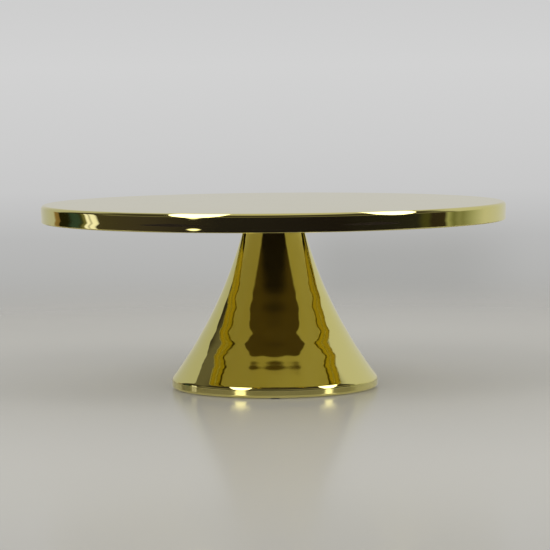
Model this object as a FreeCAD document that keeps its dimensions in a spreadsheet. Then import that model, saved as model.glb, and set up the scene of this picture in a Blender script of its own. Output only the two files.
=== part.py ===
"""A round pedestal cake stand in gold-plated sheet steel, which unscrews into a plate and a pedestal.

The plate is pressed from one sheet: a flat top, a turned-down skirt and a hem that hides the raw edge.
A round doubler is spot welded under its middle and carries a threaded stud.
The pedestal is spun from one sheet: a small flat crown, a trumpet-shaped flare, an upright foot band and a
flange turned in under it, which holds four rubber pads.
A washer and a nut are welded inside the crown. The plate's stud screws down into the nut, through a gasket
that keeps the two plated faces apart.

Lengths are in millimetres. The origin is the middle of the footprint, on the table, and +Z is up.
"""

import FreeCAD
import Part
import Sketcher

import math
import os

SIZES = {
    # the whole stand
    "plate_diameter": 305,
    "stand_height": 122,
    "foot_diameter": 136,
    "neck_diameter": 34,
    # plate
    "plate_sheet": 1.2,
    "skirt_depth": 11.6,
    "rim_round": 2.4,
    "plate_hem_width": 2.6,
    "plate_hem_round": 1.8,
    # doubler, spot welded under the plate
    "doubler_diameter": 90,
    "doubler_thickness": 2,
    "doubler_edge_round": 0.8,
    "weld_spot_diameter": 5,
    "weld_spot_depth": 0.4,
    "weld_spot_circle": 64,
    "weld_spot_count": 8,
    # stud, welded to the doubler
    "stud_diameter": 8,
    "stud_below_nut": 3.5,
    "stud_end_bevel": 1,
    "weld_collar_diameter": 11,
    "weld_collar_height": 1,
    # gasket
    "gasket_thickness": 1.5,
    "gasket_diameter": 29,
    "gasket_collar_gap": 0.4,
    # pedestal
    "pedestal_sheet": 1,
    "neck_round": 2.2,
    "flare_bow": 6.6,
    "shoulder_round": 4,
    "band_height": 5.8,
    "foot_flange_width": 9.5,
    "foot_flange_round": 1.6,
    "stud_hole_gap": 0.4,
    # washer and nut, welded inside the crown
    "crown_washer_diameter": 24,
    "crown_washer_thickness": 1.5,
    "nut_across_flats": 13,
    "nut_height": 6.5,
    "nut_corner_bevel": 0.7,
    "thread_gap": 0.05,
    # foot pads
    "pad_count": 4,
    "pad_diameter": 6.4,
    "pad_thickness": 0.6,
    "pad_edge_round": 0.2,
}

# Heights above the table and radii from the axis, each written once as an expression on the sizes.
PLATE_RADIUS = "Sizes.plate_diameter / 2"
NECK_RADIUS = "Sizes.neck_diameter / 2"
FOOT_RADIUS = "Sizes.foot_diameter / 2"
STUD_RADIUS = "Sizes.stud_diameter / 2"
COLLAR_RADIUS = "Sizes.weld_collar_diameter / 2"
STUD_HOLE_RADIUS = f"({STUD_RADIUS} + Sizes.stud_hole_gap)"
PLATE_UNDERSIDE = "(Sizes.stand_height - Sizes.plate_sheet)"
DOUBLER_FACE = f"({PLATE_UNDERSIDE} - Sizes.doubler_thickness)"
CROWN_TOP = f"({DOUBLER_FACE} - Sizes.gasket_thickness)"
CROWN_UNDERSIDE = f"({CROWN_TOP} - Sizes.pedestal_sheet)"
WASHER_FACE = f"({CROWN_UNDERSIDE} - Sizes.crown_washer_thickness)"
NUT_FACE = f"({WASHER_FACE} - Sizes.nut_height)"
FLANGE_FACE = "Sizes.pad_thickness"
BAND_TOP = f"({FLANGE_FACE} + Sizes.band_height)"
FLARE_WIDTH = f"({FOOT_RADIUS} - {NECK_RADIUS})"
FLARE_DROP = f"({CROWN_TOP} - {BAND_TOP})"
FLARE_RADIUS = (
    f"((({FLARE_WIDTH})^2 + ({FLARE_DROP})^2) / 4 + Sizes.flare_bow^2) / (2 * Sizes.flare_bow)"
)
PAD_CIRCLE_RADIUS = f"({FOOT_RADIUS} - (Sizes.foot_flange_width + Sizes.foot_flange_round) / 2)"

ORIGIN, X_AXIS, Z_AXIS = (-1, 1), -1, -2
CENTRE = 3

doc = FreeCAD.newDocument("CakeStand")
sheet = doc.addObject("Spreadsheet::Sheet", "Sizes")
for row, (alias, number) in enumerate(SIZES.items(), start=1):
    sheet.set(f"A{row}", alias)
    sheet.set(f"B{row}", str(number))
    sheet.setAlias(f"B{row}", alias)
doc.recompute()


def size(expression):
    """The number that an expression on the sizes comes to."""
    return float(sheet.evalExpression(expression))


def vector(point):
    return FreeCAD.Vector(point[0], point[1], 0)


def new_body(label):
    body = doc.addObject("PartDesign::Body", label)
    body.Label = label
    return body


def new_sketch(body, name, plane_role):
    """A sketch on one of the body's own origin planes: XZ_Plane for a section, XY_Plane for a plan."""
    sketch = body.newObject("Sketcher::SketchObject", name)
    plane = next(f for f in body.Origin.OriginFeatures if f.Role == plane_role)
    sketch.AttachmentSupport = (plane, [""])
    sketch.MapMode = "FlatFace"
    return sketch


def constrain(sketch, kind, *where):
    return sketch.addConstraint(Sketcher.Constraint(kind, *where))


def drive(sketch, name, expression, kind, *where):
    """A named dimension whose value follows an expression on the sizes."""
    index = constrain(sketch, kind, *where, size(expression))
    sketch.renameConstraint(index, name)
    sketch.setExpression(f"Constraints.{name}", expression)


class Run:
    """One line or arc of an outline, with the numbers of the points it starts and ends at."""

    def __init__(self, index, first, last):
        self.index = index
        self.start = (index, first)
        self.end = (index, last)


def line(sketch, start, end):
    return Run(sketch.addGeometry(Part.LineSegment(vector(start), vector(end)), False), 1, 2)


def arc(sketch, centre, radius, start_angle, end_angle):
    """An arc drawn from one angle, in degrees, to another, either way round."""
    circle = Part.Circle(vector(centre), FreeCAD.Vector(0, 0, 1), radius)
    low, high = sorted((math.radians(start_angle), math.radians(end_angle)))
    index = sketch.addGeometry(Part.ArcOfCircle(circle, low, high), False)
    return Run(index, 1, 2) if end_angle > start_angle else Run(index, 2, 1)


def point(sketch, where):
    return sketch.addGeometry(Part.Point(vector(where)), True)


def join_smoothly(sketch, runs):
    for run, following in zip(runs, runs[1:]):
        constrain(sketch, "Tangent", *run.end, *following.start)


def join(sketch, run, following):
    constrain(sketch, "Coincident", *run.end, *following.start)


def closed_outline(sketch, points):
    """Straight lines from point to point, flat ones held level and upright ones held upright."""
    runs = [line(sketch, a, b) for a, b in zip(points, points[1:] + points[:1])]
    for run, following in zip(runs, runs[1:] + runs[:1]):
        join(sketch, run, following)
    for run, a, b in zip(runs, points, points[1:] + points[:1]):
        if abs(a[1] - b[1]) < 1e-6:
            constrain(sketch, "Horizontal", run.index)
        elif abs(a[0] - b[0]) < 1e-6:
            constrain(sketch, "Vertical", run.index)
    return runs


def revolve(body, sketch):
    """A full turn of a section about the upright axis."""
    feature = body.newObject("PartDesign::Revolution", f"{body.Label}_turned")
    feature.Profile = sketch
    feature.ReferenceAxis = (sketch, ["V_Axis"])
    feature.Angle = 360
    return feature


def pad(body, sketch, expression):
    feature = body.newObject("PartDesign::Pad", f"{body.Label}_pad")
    feature.Profile = sketch
    feature.setExpression("Length", expression)
    return feature


def angle_to(centre, other):
    return math.degrees(math.atan2(other[1] - centre[1], other[0] - centre[0]))


def make_top_plate():
    """The plate's section: top face, rim, skirt and hem outside, and the same lines one sheet inside."""
    body = new_body("top_plate")
    sketch = new_sketch(body, "plate_section", "XZ_Plane")
    top, radius, sheet_gauge = size("Sizes.stand_height"), size(PLATE_RADIUS), size("Sizes.plate_sheet")
    rim, hem = size("Sizes.rim_round"), size("Sizes.plate_hem_round")
    low = top - size("Sizes.skirt_depth")
    hem_end = radius - size("Sizes.plate_hem_width")
    rim_centre = (radius - rim, top - rim)
    hem_centre = (radius - hem, low + hem)

    outside = [
        line(sketch, (0, top), (rim_centre[0], top)),
        arc(sketch, rim_centre, rim, 90, 0),
        line(sketch, (radius, rim_centre[1]), (radius, hem_centre[1])),
        arc(sketch, hem_centre, hem, 0, -90),
        line(sketch, (hem_centre[0], low), (hem_end, low)),
    ]
    edge = line(sketch, (hem_end, low), (hem_end, low + sheet_gauge))
    inside = [
        line(sketch, (hem_end, low + sheet_gauge), (hem_centre[0], low + sheet_gauge)),
        arc(sketch, hem_centre, hem - sheet_gauge, -90, 0),
        line(sketch, (radius - sheet_gauge, hem_centre[1]), (radius - sheet_gauge, rim_centre[1])),
        arc(sketch, rim_centre, rim - sheet_gauge, 0, 90),
        line(sketch, (rim_centre[0], top - sheet_gauge), (0, top - sheet_gauge)),
    ]
    middle = line(sketch, (0, top - sheet_gauge), (0, top))

    top_face, rim_arc, skirt, hem_arc, hem_face = outside
    _, inner_hem, inner_skirt, inner_rim, underside = inside
    join_smoothly(sketch, outside)
    join_smoothly(sketch, inside)
    for run, following in ((hem_face, edge), (edge, inside[0]), (underside, middle), (middle, top_face)):
        join(sketch, run, following)
    for level in (top_face, hem_face, underside):
        constrain(sketch, "Horizontal", level.index)
    for upright in (skirt, edge, inner_skirt, middle):
        constrain(sketch, "Vertical", upright.index)
    constrain(sketch, "Coincident", rim_arc.index, CENTRE, inner_rim.index, CENTRE)
    constrain(sketch, "Coincident", hem_arc.index, CENTRE, inner_hem.index, CENTRE)
    constrain(sketch, "PointOnObject", *top_face.start, Z_AXIS)

    drive(sketch, "top_height", "Sizes.stand_height", "DistanceY", *ORIGIN, *top_face.start)
    drive(sketch, "radius", PLATE_RADIUS, "DistanceX", *ORIGIN, *skirt.start)
    drive(sketch, "gauge", "Sizes.plate_sheet", "DistanceY", *underside.end, *top_face.start)
    drive(sketch, "depth", "Sizes.skirt_depth", "DistanceY", *hem_face.start, *top_face.start)
    drive(sketch, "rim", "Sizes.rim_round", "Radius", rim_arc.index)
    drive(sketch, "hem", "Sizes.plate_hem_round", "Radius", hem_arc.index)
    drive(sketch, "hem_width", "Sizes.plate_hem_width", "DistanceX", *hem_face.end, *skirt.start)
    revolve(body, sketch)
    return body


def make_pedestal_cone():
    """The pedestal's section: crown, neck, flare, shoulder, foot band and flange, one sheet thick."""
    body = new_body("pedestal_cone")
    sketch = new_sketch(body, "pedestal_section", "XZ_Plane")
    gauge, hole = size("Sizes.pedestal_sheet"), size(STUD_HOLE_RADIUS)
    crown, neck_r, foot_r = size(CROWN_TOP), size(NECK_RADIUS), size(FOOT_RADIUS)
    band_top, low = size(BAND_TOP), size(FLANGE_FACE)
    neck, shoulder = size("Sizes.neck_round"), size("Sizes.shoulder_round")
    turn = size("Sizes.foot_flange_round")
    flange_end = foot_r - size("Sizes.foot_flange_width")
    flare = size(FLARE_RADIUS)

    # The flare's circle passes through the neck corner and the shoulder corner, with its centre outside.
    chord = (foot_r - neck_r, band_top - crown)
    length = math.hypot(*chord)
    reach = flare - size("Sizes.flare_bow")
    centre = (
        (neck_r + foot_r) / 2 - chord[1] / length * reach,
        (crown + band_top) / 2 + chord[0] / length * reach,
    )
    neck_z = crown - neck
    neck_x = centre[0] - math.sqrt((flare + neck) ** 2 - (neck_z - centre[1]) ** 2)
    neck_centre = (neck_x, neck_z)
    shoulder_x = foot_r - shoulder
    shoulder_z = centre[1] - math.sqrt((flare + shoulder) ** 2 - (shoulder_x - centre[0]) ** 2)
    shoulder_centre = (shoulder_x, shoulder_z)
    turn_centre = (foot_r - turn, low + turn)
    to_flare = angle_to(neck_centre, centre)
    from_flare = angle_to(shoulder_centre, centre)
    flare_start = angle_to(centre, neck_centre) % 360
    flare_end = angle_to(centre, shoulder_centre) % 360

    outside = [
        line(sketch, (hole, crown), (neck_x, crown)),
        arc(sketch, neck_centre, neck, 90, to_flare),
        arc(sketch, centre, flare, flare_start, flare_end),
        arc(sketch, shoulder_centre, shoulder, from_flare, 0),
        line(sketch, (foot_r, shoulder_z), (foot_r, turn_centre[1])),
        arc(sketch, turn_centre, turn, 0, -90),
        line(sketch, (turn_centre[0], low), (flange_end, low)),
    ]
    edge = line(sketch, (flange_end, low), (flange_end, low + gauge))
    inside = [
        line(sketch, (flange_end, low + gauge), (turn_centre[0], low + gauge)),
        arc(sketch, turn_centre, turn - gauge, -90, 0),
        line(sketch, (foot_r - gauge, turn_centre[1]), (foot_r - gauge, shoulder_z)),
        arc(sketch, shoulder_centre, shoulder - gauge, 0, from_flare),
        arc(sketch, centre, flare + gauge, flare_end, flare_start),
        arc(sketch, neck_centre, neck - gauge, to_flare, 90),
        line(sketch, (neck_x, crown - gauge), (hole, crown - gauge)),
    ]
    hole_wall = line(sketch, (hole, crown - gauge), (hole, crown))

    top_face, neck_arc, flare_arc, shoulder_arc, band, turn_arc, flange = outside
    _, inner_turn, inner_band, inner_shoulder, inner_flare, inner_neck, underside = inside
    join_smoothly(sketch, outside)
    join_smoothly(sketch, inside)
    for run, following in ((flange, edge), (edge, inside[0]), (underside, hole_wall), (hole_wall, top_face)):
        join(sketch, run, following)
    for level in (top_face, flange, underside):
        constrain(sketch, "Horizontal", level.index)
    for upright in (band, edge, hole_wall, inner_band):
        constrain(sketch, "Vertical", upright.index)
    for outer, inner in (
        (neck_arc, inner_neck),
        (flare_arc, inner_flare),
        (shoulder_arc, inner_shoulder),
        (turn_arc, inner_turn),
    ):
        constrain(sketch, "Coincident", outer.index, CENTRE, inner.index, CENTRE)

    neck_corner = point(sketch, (neck_r, crown))
    shoulder_corner = point(sketch, (foot_r, band_top))
    for corner in (neck_corner, shoulder_corner):
        constrain(sketch, "PointOnObject", corner, 1, flare_arc.index)
    constrain(sketch, "PointOnObject", neck_corner, 1, top_face.index)
    constrain(sketch, "PointOnObject", shoulder_corner, 1, band.index)

    drive(sketch, "crown_height", CROWN_TOP, "DistanceY", *ORIGIN, *top_face.start)
    drive(sketch, "hole_radius", STUD_HOLE_RADIUS, "DistanceX", *ORIGIN, *top_face.start)
    drive(sketch, "gauge", "Sizes.pedestal_sheet", "DistanceY", *underside.end, *top_face.start)
    drive(sketch, "neck_radius", NECK_RADIUS, "DistanceX", *ORIGIN, neck_corner, 1)
    drive(sketch, "foot_radius", FOOT_RADIUS, "DistanceX", *ORIGIN, *band.start)
    drive(sketch, "band_top", BAND_TOP, "DistanceY", *ORIGIN, shoulder_corner, 1)
    drive(sketch, "flange_height", FLANGE_FACE, "DistanceY", *ORIGIN, *flange.start)
    drive(sketch, "neck", "Sizes.neck_round", "Radius", neck_arc.index)
    drive(sketch, "flare", FLARE_RADIUS, "Radius", flare_arc.index)
    drive(sketch, "shoulder", "Sizes.shoulder_round", "Radius", shoulder_arc.index)
    drive(sketch, "turn", "Sizes.foot_flange_round", "Radius", turn_arc.index)
    drive(sketch, "flange_width", "Sizes.foot_flange_width", "DistanceX", *flange.end, *band.start)
    revolve(body, sketch)
    return body


def make_plate_doubler():
    """A disc with a rounded lower edge and a ring of shallow spot-weld dimples in its face."""
    body = new_body("plate_doubler")
    plan = new_sketch(body, "doubler_plan", "XY_Plane")
    rim = plan.addGeometry(Part.Circle(vector((0, 0)), FreeCAD.Vector(0, 0, 1), 1), False)
    constrain(plan, "Coincident", rim, CENTRE, *ORIGIN)
    drive(plan, "radius", "Sizes.doubler_diameter / 2", "Radius", rim)
    plan.setExpression("AttachmentOffset.Base.z", DOUBLER_FACE)
    disc = pad(body, plan, "Sizes.doubler_thickness")
    doc.recompute()

    radius, face = size("Sizes.doubler_diameter / 2"), size(DOUBLER_FACE)
    lower_edge = next(
        f"Edge{number}"
        for number, edge in enumerate(disc.Shape.Edges, start=1)
        if edge.Closed and abs(edge.BoundBox.ZMax - face) < 1e-6 and abs(edge.BoundBox.XMax - radius) < 1e-6
    )
    fillet = body.newObject("PartDesign::Fillet", "doubler_edge")
    fillet.Base = (disc, [lower_edge])
    fillet.setExpression("Radius", "Sizes.doubler_edge_round")

    spot_plan = new_sketch(body, "weld_spot_plan", "XY_Plane")
    across = size("Sizes.weld_spot_circle / 2")
    spot = spot_plan.addGeometry(Part.Circle(vector((across, 0)), FreeCAD.Vector(0, 0, 1), 1), False)
    constrain(spot_plan, "PointOnObject", spot, CENTRE, X_AXIS)
    drive(spot_plan, "from_axis", "Sizes.weld_spot_circle / 2", "DistanceX", *ORIGIN, spot, CENTRE)
    drive(spot_plan, "radius", "Sizes.weld_spot_diameter / 2", "Radius", spot)
    spot_plan.setExpression("AttachmentOffset.Base.z", DOUBLER_FACE)
    dimple = body.newObject("PartDesign::Pocket", "weld_spot")
    dimple.Profile = spot_plan
    dimple.Reversed = True
    dimple.setExpression("Length", "Sizes.weld_spot_depth")
    ring = body.newObject("PartDesign::PolarPattern", "weld_spots")
    ring.Originals = [dimple]
    ring.Axis = (spot_plan, ["N_Axis"])
    ring.Angle = 360
    ring.setExpression("Occurrences", "Sizes.weld_spot_count")
    body.Tip = ring
    doc.recompute()
    if ring.Shape.Volume >= fillet.Shape.Volume:
        raise RuntimeError("the weld spots cut nothing")
    return body


def make_centre_stud():
    """A threaded stud with a weld collar at its root and a bevelled end, hanging from the doubler."""
    body = new_body("centre_stud")
    sketch = new_sketch(body, "stud_section", "XZ_Plane")
    root, shank, collar = size(DOUBLER_FACE), size(STUD_RADIUS), size(COLLAR_RADIUS)
    bevel = size("Sizes.stud_end_bevel")
    tip = size(NUT_FACE) - size("Sizes.stud_below_nut")
    collar_face = root - size("Sizes.weld_collar_height")
    runs = closed_outline(
        sketch,
        [
            (0, root),
            (collar, root),
            (collar, collar_face),
            (shank, collar_face),
            (shank, tip + bevel),
            (shank - bevel, tip),
            (0, tip),
        ],
    )
    root_face, collar_side, _, side, end_bevel, end_face, _ = runs
    constrain(sketch, "PointOnObject", *root_face.start, Z_AXIS)
    drive(sketch, "root_height", DOUBLER_FACE, "DistanceY", *ORIGIN, *root_face.start)
    drive(sketch, "collar_radius", COLLAR_RADIUS, "DistanceX", *root_face.start, *root_face.end)
    drive(sketch, "collar_height", "Sizes.weld_collar_height", "DistanceY", *collar_side.end, *root_face.end)
    drive(sketch, "radius", STUD_RADIUS, "DistanceX", *ORIGIN, *side.start)
    drive(sketch, "tip_height", f"{NUT_FACE} - Sizes.stud_below_nut", "DistanceY", *ORIGIN, *end_face.end)
    drive(sketch, "bevel_width", "Sizes.stud_end_bevel", "DistanceX", *end_bevel.end, *end_bevel.start)
    drive(sketch, "bevel_height", "Sizes.stud_end_bevel", "DistanceY", *end_bevel.end, *end_bevel.start)
    revolve(body, sketch)
    return body


def make_ring(label, low, thickness, outer_radius, inner_radius):
    """A flat ring about the upright axis, from its lower face up. All sizes are expressions."""
    body = new_body(label)
    plan = new_sketch(body, f"{label}_plan", "XY_Plane")
    for name, radius in (("outer", outer_radius), ("inner", inner_radius)):
        circle = Part.Circle(vector((0, 0)), FreeCAD.Vector(0, 0, 1), size(radius))
        edge = plan.addGeometry(circle, False)
        constrain(plan, "Coincident", edge, CENTRE, *ORIGIN)
        drive(plan, f"{name}_radius", radius, "Radius", edge)
    plan.setExpression("AttachmentOffset.Base.z", low)
    pad(body, plan, thickness)
    return body


def make_weld_nut():
    """A hexagon nut under the crown washer. Its six corners are bevelled on the lower side."""
    body = new_body("weld_nut")
    plan = new_sketch(body, "nut_plan", "XY_Plane")
    flats = size("Sizes.nut_across_flats")
    corner_radius = flats / math.sqrt(3)
    corners = [
        (corner_radius * math.cos(math.radians(60 * k)), corner_radius * math.sin(math.radians(60 * k)))
        for k in range(6)
    ]
    sides = [line(plan, a, b) for a, b in zip(corners, corners[1:] + corners[:1])]
    around = plan.addGeometry(
        Part.Circle(vector((0, 0)), FreeCAD.Vector(0, 0, 1), corner_radius), True
    )
    constrain(plan, "Coincident", around, CENTRE, *ORIGIN)
    for side, following in zip(sides, sides[1:] + sides[:1]):
        join(plan, side, following)
        constrain(plan, "PointOnObject", *side.start, around)
    for side in sides[1:]:
        constrain(plan, "Equal", sides[0].index, side.index)
    constrain(plan, "PointOnObject", *sides[0].start, X_AXIS)
    drive(plan, "corner_radius", "Sizes.nut_across_flats / sqrt(3)", "Radius", around)
    bore = plan.addGeometry(
        Part.Circle(vector((0, 0)), FreeCAD.Vector(0, 0, 1), size(STUD_RADIUS)), False
    )
    constrain(plan, "Coincident", bore, CENTRE, *ORIGIN)
    drive(plan, "bore_radius", f"{STUD_RADIUS} + Sizes.thread_gap", "Radius", bore)
    plan.setExpression("AttachmentOffset.Base.z", NUT_FACE)
    hexagon = pad(body, plan, "Sizes.nut_height")

    # A triangle outside the nut, turned about the axis, takes the lower corners off.
    section = new_sketch(body, "nut_bevel_section", "XZ_Plane")
    low, bevel = size(NUT_FACE), size("Sizes.nut_corner_bevel")
    inner = corner_radius - bevel * math.sqrt(3)
    runs = closed_outline(section, [(inner, low), (corner_radius, low), (corner_radius, low + bevel)])
    drive(section, "face_height", NUT_FACE, "DistanceY", *ORIGIN, *runs[0].start)
    drive(section, "outer_radius", "Sizes.nut_across_flats / sqrt(3)", "DistanceX", *ORIGIN, *runs[1].start)
    drive(section, "bevel_height", "Sizes.nut_corner_bevel", "DistanceY", *runs[1].start, *runs[1].end)
    bevel_width = "Sizes.nut_corner_bevel * sqrt(3)"
    drive(section, "bevel_width", bevel_width, "DistanceX", *runs[0].start, *runs[0].end)
    groove = body.newObject("PartDesign::Groove", "nut_bevel")
    groove.Profile = section
    groove.ReferenceAxis = (section, ["V_Axis"])
    groove.Angle = 360
    doc.recompute()
    if groove.Shape.Volume >= hexagon.Shape.Volume:
        raise RuntimeError("the nut's bevel cuts nothing")
    return body


def make_foot_pad(number):
    """One rubber pad, stuck under the foot flange, with its lower edge rounded."""
    body = new_body(f"foot_pad_{number}")
    sketch = new_sketch(body, f"pad_section_{number}", "XZ_Plane")
    radius, height, edge = size("Sizes.pad_diameter / 2"), size(FLANGE_FACE), size("Sizes.pad_edge_round")
    face = line(sketch, (0, 0), (radius - edge, 0))
    rounding = arc(sketch, (radius - edge, edge), edge, -90, 0)
    side = line(sketch, (radius, edge), (radius, height))
    top = line(sketch, (radius, height), (0, height))
    axis = line(sketch, (0, height), (0, 0))
    join_smoothly(sketch, [face, rounding, side])
    for run, following in ((side, top), (top, axis), (axis, face)):
        join(sketch, run, following)
    for level in (face, top):
        constrain(sketch, "Horizontal", level.index)
    for upright in (side, axis):
        constrain(sketch, "Vertical", upright.index)
    constrain(sketch, "Coincident", *face.start, *ORIGIN)
    drive(sketch, "radius", "Sizes.pad_diameter / 2", "DistanceX", *ORIGIN, *side.end)
    drive(sketch, "height", FLANGE_FACE, "DistanceY", *ORIGIN, *top.end)
    drive(sketch, "edge", "Sizes.pad_edge_round", "Radius", rounding.index)
    revolve(body, sketch)
    turn = f"({number - 1} * 360 / Sizes.pad_count * 1deg)"
    body.setExpression("Placement.Base.x", f"{PAD_CIRCLE_RADIUS} * cos({turn})")
    body.setExpression("Placement.Base.y", f"{PAD_CIRCLE_RADIUS} * sin({turn})")
    return body


def check_and_export(bodies):
    """Stops on any failed object or bad solid, then writes one STEP file for each piece."""
    doc.recompute()
    failed = [o.Name for o in doc.Objects if "Invalid" in o.State or "Error" in o.State]
    if failed:
        raise RuntimeError(f"these objects failed: {failed}")
    for body in bodies:
        if body.Shape.isNull() or not body.Shape.isValid() or len(body.Shape.Solids) != 1:
            raise RuntimeError(f"{body.Label} is not one valid solid")
    os.makedirs("parts", exist_ok=True)
    for body in bodies:
        body.Shape.exportStep(f"parts/{body.Label}.step")
        box = body.Shape.optimalBoundingBox(True, False)
        print(
            f"{body.Label}: {body.Shape.Volume / 1000:.2f} cm3, "
            f"x {box.XMin:.2f} to {box.XMax:.2f}, z {box.ZMin:.2f} to {box.ZMax:.2f}"
        )


def main():
    bodies = [
        make_top_plate(),
        make_plate_doubler(),
        make_centre_stud(),
        make_ring(
            "seat_gasket",
            CROWN_TOP,
            "Sizes.gasket_thickness",
            "Sizes.gasket_diameter / 2",
            f"{COLLAR_RADIUS} + Sizes.gasket_collar_gap",
        ),
        make_pedestal_cone(),
        make_ring(
            "crown_washer",
            WASHER_FACE,
            "Sizes.crown_washer_thickness",
            "Sizes.crown_washer_diameter / 2",
            STUD_HOLE_RADIUS,
        ),
        make_weld_nut(),
    ]
    bodies += [make_foot_pad(number) for number in range(1, int(size("Sizes.pad_count")) + 1)]
    check_and_export(bodies)


main()
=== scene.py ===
# %% [markdown]
# # A gold cake stand that unscrews
# The stand is two sheet-metal shells. The plate is pressed from a disc, with its rim turned down and its raw
# edge hemmed inward. The pedestal is spun: a disc is pressed against a turning former until it is a trumpet.
# A threaded stud under the plate screws into a nut inside the pedestal's crown.
#
# The frame gives every piece its place and its size. This script gives the pieces their finished surfaces.

import math

import bmesh
import bpy
from mathutils import Matrix, Vector


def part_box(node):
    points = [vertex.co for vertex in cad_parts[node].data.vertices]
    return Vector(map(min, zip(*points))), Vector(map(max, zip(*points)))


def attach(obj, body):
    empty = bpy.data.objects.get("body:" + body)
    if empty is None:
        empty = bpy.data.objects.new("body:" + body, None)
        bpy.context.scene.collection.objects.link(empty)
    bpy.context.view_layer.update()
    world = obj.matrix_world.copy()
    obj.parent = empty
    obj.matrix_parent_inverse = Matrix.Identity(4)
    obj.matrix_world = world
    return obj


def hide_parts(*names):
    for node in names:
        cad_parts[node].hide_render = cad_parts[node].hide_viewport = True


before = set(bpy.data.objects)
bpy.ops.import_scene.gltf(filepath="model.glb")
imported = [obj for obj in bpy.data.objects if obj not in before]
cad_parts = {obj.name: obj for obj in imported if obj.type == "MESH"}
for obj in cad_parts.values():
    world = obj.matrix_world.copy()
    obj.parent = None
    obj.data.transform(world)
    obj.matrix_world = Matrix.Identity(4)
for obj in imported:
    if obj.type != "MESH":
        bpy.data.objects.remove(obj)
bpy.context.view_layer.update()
MM = 0.001
print("the frame holds", ", ".join(sorted(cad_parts)))

# %% [markdown]
# ## Node trees written as steps
# Every finish and every turned piece below is a node tree. A `Wire` is one socket that understands plus,
# minus, times and divide, so that a formula reads as a formula, and `Graph.add` makes any other node from its
# type, its settings and what goes into its sockets.

# %% Wires and graphs
class Wire:
    """The value on one socket. A sum on it adds a Math node and gives that node's result."""

    def __init__(self, graph, socket):
        self.graph = graph
        self.socket = socket

    def math(self, operation, *others):
        inputs = dict(enumerate((self,) + others))
        return self.graph.add("ShaderNodeMath", {"operation": operation}, inputs)[0]

    def __add__(self, other):
        return self.math("ADD", other)

    def __sub__(self, other):
        return self.math("SUBTRACT", other)

    def __mul__(self, other):
        return self.math("MULTIPLY", other)

    def __truediv__(self, other):
        return self.math("DIVIDE", other)

    __radd__ = __add__
    __rmul__ = __mul__

    def __rsub__(self, other):
        return self.graph.number(other).math("SUBTRACT", self)

    def __rtruediv__(self, other):
        return self.graph.number(other).math("DIVIDE", self)


class Outputs:
    """A node's outputs, by name or by number, as wires."""

    def __init__(self, graph, node):
        self.graph = graph
        self.node = node

    def __getitem__(self, key):
        if isinstance(key, int):
            shown = [s for s in self.node.outputs if s.enabled]
            return Wire(self.graph, shown[key])
        return Wire(self.graph, pick(self.node.outputs, key))


def pick(sockets, key):
    """The socket in use that has this number or name. A Mix node has several called A, and uses one."""
    shown = [s for s in sockets if s.enabled]
    if isinstance(key, int):
        return shown[key]
    return next(s for s in shown if s.name == key)


class Graph:
    """A node tree that is written as steps."""

    def __init__(self, tree):
        self.tree = tree
        tree.nodes.clear()

    def add(self, kind, settings=None, inputs=None):
        """One node: its settings first, then a value or a wire for each socket named in inputs."""
        node = self.tree.nodes.new(kind)
        for name, setting in (settings or {}).items():
            if name == "stops":
                set_stops(node.color_ramp, setting)
            else:
                setattr(node, name, setting)
        for key, value in (inputs or {}).items():
            socket = pick(node.inputs, key)
            if isinstance(value, Wire):
                self.tree.links.new(value.socket, socket)
            else:
                socket.default_value = value
        return Outputs(self, node)

    def number(self, value):
        """A plain number as a wire, for a formula that starts with one."""
        return self.add("ShaderNodeMath", {"operation": "ADD"}, {0: value, 1: 0.0})[0]

    def smooth(self, value, low, high, start=0.0, end=1.0):
        """start below low, end above high, and an even change between."""
        inputs = {"Value": value, "From Min": low, "From Max": high, "To Min": start, "To Max": end}
        return self.add("ShaderNodeMapRange", {"interpolation_type": "SMOOTHSTEP"}, inputs)[0]

    def blend(self, factor, a, b):
        """Colour a where the factor is 0 and colour b where it is 1."""
        inputs = {"Factor": factor, "A": a, "B": b}
        return self.add("ShaderNodeMix", {"data_type": "RGBA"}, inputs)[0]

    def split(self, vector):
        """A vector's three parts."""
        parts = self.add("ShaderNodeSeparateXYZ", None, {0: vector})
        return parts[0], parts[1], parts[2]

    def bump(self, height, strength, distance):
        """The direction that a surface faces once this relief is on it."""
        inputs = {"Strength": strength, "Distance": distance, "Height": height}
        return self.add("ShaderNodeBump", None, inputs)[0]

    def principled(self, **inputs):
        """A surface, from its inputs' names with a line between the words."""
        named = {name.replace("_", " "): value for name, value in inputs.items()}
        return self.add("ShaderNodeBsdfPrincipled", None, named)[0]

    def named(self, name, kind="FLOAT"):
        """An attribute that the geometry carries."""
        return self.add("GeometryNodeInputNamedAttribute", {"data_type": kind}, {"Name": name})["Attribute"]

    def noise_along(self, where, detail):
        """Noise along one line, with one bump to each unit."""
        inputs = {"W": where, "Scale": 1.0, "Detail": detail}
        return self.add("ShaderNodeTexNoise", {"noise_dimensions": "1D"}, inputs)[0]

    def noise(self, where, scale, detail=2.0, roughness=0.5):
        """Cloudy noise between 0 and 1 at a place in space."""
        inputs = {"Vector": where, "Scale": scale, "Detail": detail, "Roughness": roughness}
        return self.add("ShaderNodeTexNoise", {"noise_dimensions": "3D"}, inputs)[0]


def set_stops(ramp, stops):
    """Gives a colour ramp its stops, as (position, colour) pairs."""
    while len(ramp.elements) < len(stops):
        ramp.elements.new(1.0)
    for element, (position, colour) in zip(ramp.elements, stops):
        element.position = position
        element.color = colour


print("wires and graphs are ready")

# %% [markdown]
# ## The gold finish
# The steel is polished, nickel plated and flashed with a pale, slightly green gold. A mirror shows the room
# and hardly any colour of its own, so the finish is in small departures from a perfect mirror: a tint that
# drifts as the plating's thickness does, faint wipe marks that blur the reflection, and hair-fine rings left
# by the polishing mop. A flat yellow with a low roughness looks like plastic, because nothing on it changes.

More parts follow.
